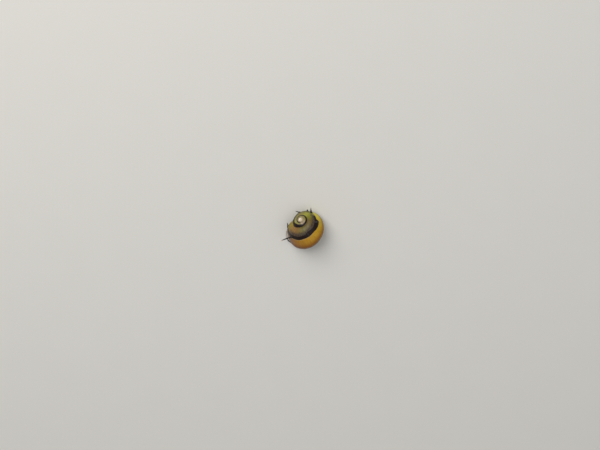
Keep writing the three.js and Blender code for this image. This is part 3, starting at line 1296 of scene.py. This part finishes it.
    def fill_mouth(self, bm: BMesh, lip: list[BMEdge]) -> None:
        """Closes the mouth with a level shelf and the hollow that holds the body.

        Args:
            bm: mesh of the whole shell.
            lip: edges of the open mouth.
        """
        point, up = self.lip_plane()
        centre = Vector((*self.hollow_centre, 0.0))
        centre.z = point.z - up.y / up.z * (centre.y - point.y)
        rim = bmesh.ops.create_circle(bm, cap_ends=False, segments=self.hollow_segments, radius=1.0)["verts"]
        wide = Vector((*self.hollow_radii, 1.0)) + Vector((self.hollow_round, self.hollow_round, 0.0))
        bmesh.ops.scale(bm, vec=wide, verts=rim)
        slope = Matrix.Rotation(-math.asin(up.y), 4, "X")
        bmesh.ops.transform(bm, matrix=Matrix.Translation(centre) @ slope, verts=rim)
        edges = edges_of(rim)
        _, _, inner = sorted_out(bmesh.ops.triangle_fill(bm, edges=lip + edges, normal=-up)["geom"])
        rows = [(0.0, 1.0)]
        for number in range(1, self.hollow_steps + 1):
            turn = number / self.hollow_steps * math.pi / 2.0
            width = max(math.cos(turn) ** self.hollow_fullness, self.hollow_least)
            rows.append((self.hollow_height * math.sin(turn), width))
        for face in inner + raised(bm, edges, rows, centre):
            face.material_index = 1

    def spine_piece(self, bm: BMesh, spine: Spine) -> None:
        """Grows one spine, its flared root sunk into the wall, bent a little towards the lip.

        Args:
            bm: mesh that the spine is added to.
            spine: its sizes.
        """
        turn, drop = self.band_nudges
        ages = (spine.age, spine.age - turn, spine.age + turn)
        root, younger, older = (self.spiral.point(self.band_middle, age) for age in ages)
        lower = self.spiral.point(tuple(size + drop for size in self.band_middle), spine.age)
        forward = (younger - older).normalized()
        out = forward.cross(lower - root).normalized()
        lean, lift = math.radians(spine.lean), math.radians(spine.lift)
        heading = out * math.cos(lean) + forward * math.sin(lean) + self.spiral.axis * math.sin(lift)
        turned = standing(root, heading.normalized())
        verts = bmesh.ops.create_circle(bm, cap_ends=True, segments=self.spine_segments, radius=1.0)["verts"]
        edges = edges_of(verts)
        placed_by = self.spine_ring(spine, 0.0, turned)
        bmesh.ops.transform(bm, matrix=placed_by, verts=verts)
        faces = []
        for number in range(1, self.spine_rings + 1):
            ring, edges, sides = drawn_out(bm, edges)
            faces += sides
            to_place = self.spine_ring(spine, number / self.spine_rings, turned)
            bmesh.ops.transform(bm, matrix=to_place @ placed_by.inverted(), verts=ring)
            placed_by = to_place
        faces += bmesh.ops.edgeloop_fill(bm, edges=edges)["faces"]
        back = turned.inverted()
        whole = spine.length + self.spine_sunk
        map_growth(bm, faces, lambda vert: (spine.age / TURN, max((back @ vert.co).z, 0.0) / whole))

    def spine_ring(self, spine: Spine, share: float, turned: Matrix) -> Matrix:
        """Matrix that carries a unit circle to one ring of a spine.

        Args:
            spine: the spine.
            share: place along it, from its sunk root at 0 to its tip at 1.
            turned: matrix that stands the spine on the wall.

        Returns:
            The matrix.
        """
        flare, flare_reach = self.spine_flare
        power, blunt = self.spine_round
        eased = 1.0 - (1.0 - share) ** self.spine_ease
        height = eased * (spine.length + self.spine_sunk) - self.spine_sunk
        width = spine.width / 2.0 + (self.spine_tip / 2.0 - spine.width / 2.0) * eased
        width += spine.width / 2.0 * flare * math.exp(-max(height, 0.0) / (flare_reach * spine.width))
        width *= math.sqrt(max(1.0 - eased ** power, blunt))
        bend = self.spine_bend * spine.length * (max(height, 0.0) / spine.length) ** 2
        thin = Matrix.Diagonal((width, width * self.spine_flatness, 1.0, 1.0))
        return turned @ Matrix.Translation((bend, 0.0, height)) @ thin

    def build(self) -> list[Object]:
        """Makes and places the shell and its spines.

        Returns:
            The whorls and the spines.
        """
        bm = united([*self.lengths(), *self.fillings()])
        mended(bm)
        self.wear(bm)
        self.fill_mouth(bm, self.cut_mouth(bm))
        finishes = [ShellFinish(self.section, self.spiral).build(), MouthFinish().build()]
        shell = placed(bm, "shell_whorls", finishes, ["shell"])
        horns = bmesh.new()
        for spine in self.spines:
            self.spine_piece(horns, spine)
        return [shell, placed(horns, "shell_spines", [SpineFinish().build()])]


@dataclass
class SoftBody:
    """One skin over the foot, trunk, head, tentacles and eye stalks.

    Rows of the foot are heights and widths. X is told from the body's middle, and of twins the left one is
    given.
    """

    voxel: float = 0.075
    relaxing: tuple[float, int] = (0.5, 5)
    sole_cut: float = 0.015
    foot_rows: tuple[Pair, ...] = (
        (0.0, 0.962), (0.07, 0.99), (0.16, 1.0), (0.27, 0.992), (0.38, 0.965), (0.48, 0.91), (0.56, 0.8),
        (0.6, 0.6),
    )
    foot_segments: int = 180
    foot_waves: tuple[Triple, ...] = ((17.0, 0.006, 0.7), (29.0, 0.005, 0.0))
    foot_trim: float = 0.008
    trunk_centre: Triple = (0.0, -2.3, 0.9)
    trunk_radii: Triple = (4.3, 5.9, 3.0)
    forehead_centre: Triple = (0.0, -8.2, 0.9)
    forehead_radii: Triple = (2.3, 2.4, 0.9)
    lobe_centre: Triple = (0.95, -9.9, 0.72)
    lobe_radii: Triple = (1.27, 0.82, 0.55)
    lobe_faces: tuple[int, int] = (64, 32)
    stalk_centre: Triple = (2.62, -8.2, 1.02)
    stalk_radii: Triple = (0.78, 0.46, 0.4)
    socket_wall: float = 0.1
    socket_depth: float = 0.13
    socket_faces: tuple[int, int] = (48, 24)
    tentacle_root: float = 0.33
    tentacle_tip: float = 0.17
    tentacle_rings: int = 54
    tentacles: tuple[Curve, Curve] = (
        (
            (1.6, -9.2, 1.05), (2.1, -9.35, 1.12), (2.9, -9.8, 1.16), (3.9, -9.4, 1.05), (4.7, -8.5, 0.9),
            (5.3, -7.4, 0.75), (5.75, -6.2, 0.62),
        ),
        (
            (-1.6, -9.2, 1.05), (-2.1, -9.35, 1.12), (-2.9, -9.9, 1.16), (-4.0, -9.6, 1.05),
            (-5.1, -8.8, 0.9), (-5.85, -7.4, 0.75), (-6.48, -5.6, 0.6),
        ),
    )
    tip_reach: Pair = (1.0, 1.3)
    wrinkle_depth: float = 0.045
    wrinkle_heights: Pair = (0.1, 0.7)
    tentacle_calm: float = 0.85
    tentacle_calm_shares: Pair = (0.1, 0.4)
    drift_scale: float = 0.9
    drift_reach: float = 4.2
    fold_rate: float = 9.0
    fold_depth: float = 0.5
    crease_scale: float = 2.3
    crease_noise: tuple[float, float, int] = (0.9, 2.0, 3)
    crease_depth: float = 0.8
    fold_level: float = 0.6
    mouth_place: Triple = (0.0, -9.75, 0.3)
    mouth_width: float = 0.42
    mouth_reach: float = 0.13
    mouth_depth: float = 0.26
    mouth_limits: Triple = (3.0, 4.0, 0.3)
    lips: Triple = (0.35, 1.8, 0.6)
    nodes: tuple[str, ...] = (
        "foot_front", "foot_rear", "trunk", "head", "tentacle_left_root", "tentacle_left_tip",
        "tentacle_right_root", "tentacle_right_tip", "eye_stalk_left", "eye_stalk_right",
    )

    def __post_init__(self) -> None:
        """Reads the foot's place from the fixed model."""
        self.foot_centre, self.foot_radii = box_mm("foot_front", "foot_rear")

    def at(self, place: Triple, side: float = 1.0) -> Vector:
        """Point of the model for a place told from the body's middle, or its twin for a side of -1."""
        return Vector((self.foot_centre.x + side * place[0], *place[1:]))

    def foot(self) -> BMesh:
        """Sole with a thin, softly waved edge.

        Returns:
            The closed mesh.
        """
        bm = bmesh.new()
        verts = bmesh.ops.create_circle(bm, cap_ends=True, segments=self.foot_segments, radius=1.0)["verts"]
        width = self.foot_rows[0][1]
        bmesh.ops.scale(bm, vec=(width, width, 1.0), verts=verts)
        raised(bm, edges_of(verts), self.foot_rows, Vector())
        for vert in bm.verts:
            turn = math.atan2(vert.co.y, vert.co.x)
            waves = sum(depth * math.sin(count * turn + start) for count, depth, start in self.foot_waves)
            vert.co.x *= self.foot_radii.x * (1.0 + waves - self.foot_trim)
            vert.co.y *= self.foot_radii.y * (1.0 + waves - self.foot_trim)
        bmesh.ops.translate(bm, vec=(self.foot_centre.x, self.foot_centre.y, 0.0), verts=bm.verts)
        return bm

    def curve(self, places: Curve) -> list[Vector]:
        """Points along a tentacle."""
        return through([self.at(place) for place in places], self.tentacle_rings)

    def tentacle(self, places: Curve) -> BMesh:
        """Tapered feeler along a curve.

        Args:
            places: points of the curve.

        Returns:
            A row of balls, for the skin to close over.
        """
        bm = bmesh.new()
        for number, point in enumerate(self.curve(places)):
            share = number / self.tentacle_rings
            radius = self.tentacle_root + (self.tentacle_tip - self.tentacle_root) * share
            made = bmesh.ops.create_icosphere(bm, subdivisions=2, radius=radius)["verts"]
            bmesh.ops.translate(bm, vec=point, verts=made)
        return bm

    def lumps(self) -> list[BMesh]:
        """Makes the forms under the skin.

        Returns:
            Closed forms that together fill it.
        """
        forms = [
            self.foot(),
            ovoid(self.at(self.trunk_centre), self.trunk_radii),
            ovoid(self.at(self.forehead_centre), self.forehead_radii),
            *map(self.tentacle, self.tentacles),
        ]
        for name, side in (("right", -1.0), ("left", 1.0)):
            stalk = self.at(self.stalk_centre, side)
            forms.append(ovoid(self.at(self.lobe_centre, side), self.lobe_radii, *self.lobe_faces))
            forms.append(ovoid(stalk, self.stalk_radii, *self.lobe_faces))
            eye, half = box_mm(f"eye_{name}")
            radius = half.z + self.socket_wall
            socket = eye + (stalk - eye).normalized() * self.socket_depth
            forms.append(ovoid(socket, (radius, radius, radius), *self.socket_faces))
        return forms

    def skin(self) -> BMesh:
        """Smooth skin round all the forms, level under the sole.

        Returns:
            The closed mesh.
        """
        whole = bmesh.new()
        for form in self.lumps():
            mesh = bpy.data.meshes.new("form")
            form.to_mesh(mesh)
            form.free()
            whole.from_mesh(mesh)
            bpy.data.meshes.remove(mesh)
        piece = scratch(whole, "forms")
        remesh = piece.modifiers.new("remesh", "REMESH")
        remesh.mode = "VOXEL"
        remesh.voxel_size = self.voxel
        relax = piece.modifiers.new("relax", "SMOOTH")
        relax.factor, relax.iterations = self.relaxing
        bm = settled(piece)
        bmesh.ops.edgeloop_fill(bm, edges=cut(bm, UP * self.sole_cut, UP))
        keep_largest(bm)
        return bm

    def purse(self, bm: BMesh) -> None:
        """Presses the slit of the mouth into the underside of the snout, between raised lips.

        Args:
            bm: mesh of the skin.
        """
        mouth = self.at(self.mouth_place)
        far_beside, far_away, far_above = self.mouth_limits
        lip_height, lip_away, lip_width = self.lips
        bm.normal_update()
        for vert in bm.verts:
            off = vert.co - mouth
            away = math.hypot(off.y, off.z) / self.mouth_reach
            beside = abs(off.x) / self.mouth_width
            if away < far_away and beside < far_beside and off.z < far_above:
                slit = math.exp(-away ** 2) - lip_height * math.exp(-(away - lip_away) ** 2 / lip_width)
                vert.co += vert.normal * -self.mouth_depth * math.exp(-beside ** 2) * slit

    def mark_tips(self, bm: BMesh, mark: str) -> None:
        """Writes how far along a tentacle each point lies, and 0 elsewhere.

        Args:
            bm: mesh of the skin.
            mark: name of the attribute.
        """
        layer = bm.verts.layers.float.new(mark)
        past_tip, round_it = self.tip_reach
        for places in self.tentacles:
            curve = self.curve(places)
            for vert in bm.verts:
                beside = abs(vert.co.x - self.foot_centre.x)
                if vert.co.y > places[-1][1] + past_tip or beside < abs(places[1][0]):
                    continue
                away, number = min(((vert.co - point).length, i) for i, point in enumerate(curve))
                if away < self.tentacle_root * round_it:
                    vert[layer] = number / self.tentacle_rings

    def wrinkle(self, bm: BMesh, mark: str) -> None:
        """Folds the skin across the head and up the trunk, less on the tentacles, and settles the sole.

        Args:
            bm: mesh of the skin, with its tentacles marked.
            mark: name of the attribute that marks them.
        """
        layer = bm.verts.layers.float[mark]
        bm.normal_update()
        for vert in bm.verts:
            drift = noise.noise(vert.co * self.drift_scale) * self.drift_reach
            folds = math.sin(vert.co.y * self.fold_rate + drift) * self.fold_depth
            folds += noise.fractal(vert.co * self.crease_scale, *self.crease_noise) * self.crease_depth
            depth = self.wrinkle_depth * smooth_step(vert.co.z, *self.wrinkle_heights)
            depth *= 1.0 - self.tentacle_calm * smooth_step(vert[layer], *self.tentacle_calm_shares)
            vert.co += vert.normal * depth * (folds - self.fold_level)
        lowest = min(vert.co.z for vert in bm.verts)
        for vert in bm.verts:
            vert.co.z = max(vert.co.z - lowest, 0.0)

    def build(self) -> list[Object]:
        """Makes and places the skin.

        Returns:
            The skin.
        """
        finish = SkinFinish()
        bm = self.skin()
        self.purse(bm)
        self.mark_tips(bm, finish.tip_mark)
        self.wrinkle(bm, finish.tip_mark)
        return [placed(bm, "body_skin", [finish.build()], self.nodes)]


@dataclass
class Eyes:
    """Two beads, each where the fixed model has one."""

    sides: tuple[str, ...] = ("left", "right")
    faces: tuple[int, int] = (40, 24)

    def build(self) -> list[Object]:
        """Makes and places the eyes.

        Returns:
            The two beads.
        """
        finish = EyeFinish().build()
        made = []
        for side in self.sides:
            bead = ovoid(*box_mm(f"eye_{side}"), *self.faces)
            made.append(placed(bead, f"eye_bead_{side}", [finish], [f"eye_{side}"]))
        return made


@dataclass
class Operculum:
    """Half-moon plate on the back of the foot."""

    segments: int = 64
    edge: float = 0.12
    edge_steps: int = 3
    sharp: float = 40.0

    def build(self) -> list[Object]:
        """Makes and places the plate.

        Returns:
            The plate.
        """
        centre, half = box_mm("operculum")
        bm = bmesh.new()
        bmesh.ops.create_circle(bm, cap_ends=True, segments=self.segments, radius=1.0)
        cut(bm, Vector(), Vector((0.0, 1.0, 0.0)))
        mended(bm)
        bmesh.ops.scale(bm, vec=(half.x, half.y * 2.0, 1.0), verts=bm.verts)
        verts, _, _ = sorted_out(bmesh.ops.extrude_face_region(bm, geom=bm.faces[:])["geom"])
        bmesh.ops.translate(bm, vec=(0.0, 0.0, half.z * 2.0), verts=verts)
        bmesh.ops.recalc_face_normals(bm, faces=bm.faces)
        sharp = [edge for edge in bm.edges if edge.calc_face_angle(0.0) > math.radians(self.sharp)]
        bmesh.ops.bevel(
            bm, geom=sharp, offset=self.edge, segments=self.edge_steps, profile=0.5, affect="EDGES",
            material=-1, clamp_overlap=True,
        )
        back = Vector((centre.x, centre.y - half.y, centre.z - half.z))
        bmesh.ops.translate(bm, vec=back, verts=bm.verts)
        finish = OperculumFinish(back + UP * half.z * 2.0).build()
        return [placed(bm, "operculum_plate", [finish], ["operculum"])]


@dataclass(frozen=True)
class PhotoView:
    """Camera of the photo: where it looks from, how much it shows, and where the apex falls in it."""

    lean: float = 26.0
    heading: float = 20.0
    distance: float = 600.0
    pixel: float = 0.4255
    frame: tuple[int, int] = (600, 450)
    apex_pixel: Pair = (300.15, 218.95)
    sensor: float = 36.0
    clip: Pair = (10.0, 20000.0)

    def axes(self) -> tuple[Vector, Vector, Vector]:
        """Directions of the picture.

        Returns:
            Its right, its top, and the way back to the camera.
        """
        lean, heading = math.radians(self.lean), math.radians(self.heading)
        right = Vector((math.cos(heading), math.sin(heading), 0.0))
        ahead = Vector((-math.sin(heading), math.cos(heading), 0.0))
        top = ahead * math.cos(lean) - UP * math.sin(lean)
        return right, top, UP * math.cos(lean) + ahead * math.sin(lean)

    def build(self, apex: Vector) -> None:
        """Makes the camera.

        Args:
            apex: the shell's apex, in millimetres.
        """
        right, top, back = self.axes()
        across = self.frame[0] / 2.0 - self.apex_pixel[0]
        down = self.frame[1] / 2.0 - self.apex_pixel[1]
        aim = apex + (right * across - top * down) * self.pixel
        data = bpy.data.cameras.new("photo_view")
        data.sensor_width = self.sensor
        data.lens = self.sensor * self.distance / (self.frame[0] * self.pixel)
        data.clip_start, data.clip_end = (distance * MM for distance in self.clip)
        camera = bpy.data.objects.new("photo_view", data)
        turned = Matrix((right, top, back)).transposed().to_4x4()
        camera.matrix_world = Matrix.Translation((aim + back * self.distance) * MM) @ turned
        bpy.context.scene.collection.objects.link(camera)
        bpy.context.scene.camera = camera


@dataclass(frozen=True)
class Studio:
    """Plain pale floor under soft light that comes mostly from the top of the picture.

    Each lamp's way is told along the picture's right, its top, the way back to the camera and straight up.
    """

    view: PhotoView
    floor_size: float = 6000.0
    floor_paint: Paint = (204, 201, 194)
    floor_speck: Paint = (170, 166, 158)
    speck_noise: Pair = (60.0, 3.0)
    speck_share: float = 0.08
    sky_paint: Paint = (226, 228, 232)
    sky_strength: float = 0.42
    key_way: tuple[float, ...] = (-0.35, 0.75, 0.0, 1.0)
    key_power: float = 8.0
    key_size: float = 650.0
    fill_way: tuple[float, ...] = (0.5, -0.6, 1.0, 0.0)
    fill_power: float = 1.6
    fill_size: float = 900.0
    lamp_distance: float = 900.0

    def lamp(self, name: str, shares: Sequence[float], power: float, size: float) -> None:
        """Adds one soft lamp that shines on the snail.

        Args:
            name: name of the lamp.
            shares: the way from the snail to the lamp, along the four directions.
            power: its power in watts.
            size: its width in millimetres.
        """
        data = bpy.data.lights.new(name, "AREA")
        data.energy = power
        data.size = size * MM
        lamp = bpy.data.objects.new(name, data)
        way = sum((axis * share for axis, share in zip((*self.view.axes(), UP), shares)), Vector())
        turned = way.to_track_quat("Z", "Y").to_matrix().to_4x4()
        lamp.matrix_world = Matrix.Translation(way.normalized() * self.lamp_distance * MM) @ turned
        bpy.context.scene.collection.objects.link(lamp)

    def build(self) -> None:
        """Makes the floor, the sky and the lamps."""
        bm = bmesh.new()
        bmesh.ops.create_grid(bm, x_segments=1, y_segments=1, size=self.floor_size * MM / 2.0)
        floor = scratch(bm, "floor")
        g = Graph("floor_paper")
        speck = g.noise(g.place(), *self.speck_noise) * self.speck_share
        paper = {"Base Color": g.blend(speck, self.floor_paint, self.floor_speck), "Roughness": 0.85}
        floor.data.materials.append(g.shaded(paper))
        world = bpy.data.worlds.new("studio")
        world.use_nodes = True
        sky = world.node_tree.nodes["Background"]
        sky.inputs["Color"].default_value = linear(self.sky_paint)
        sky.inputs["Strength"].default_value = self.sky_strength
        bpy.context.scene.world = world
        self.lamp("key", self.key_way, self.key_power, self.key_size)
        self.lamp("fill", self.fill_way, self.fill_power, self.fill_size)
        bpy.context.scene.view_settings.view_transform = "Standard"


def main() -> None:
    """Builds the camera, the studio and the snail in order, and reports each piece with its number of faces.
    """
    logging.basicConfig(level=logging.INFO, format="%(name)s %(message)s")
    view = PhotoView()
    view.build(Spiral().top)
    Studio(view).build()
    for assembly in (Shell(), SoftBody(), Eyes(), Operculum()):
        for piece in assembly.build():
            LOG.info("placed %s, %d faces", piece.name, len(piece.data.polygons))


if __name__ == "__main__":
    main()
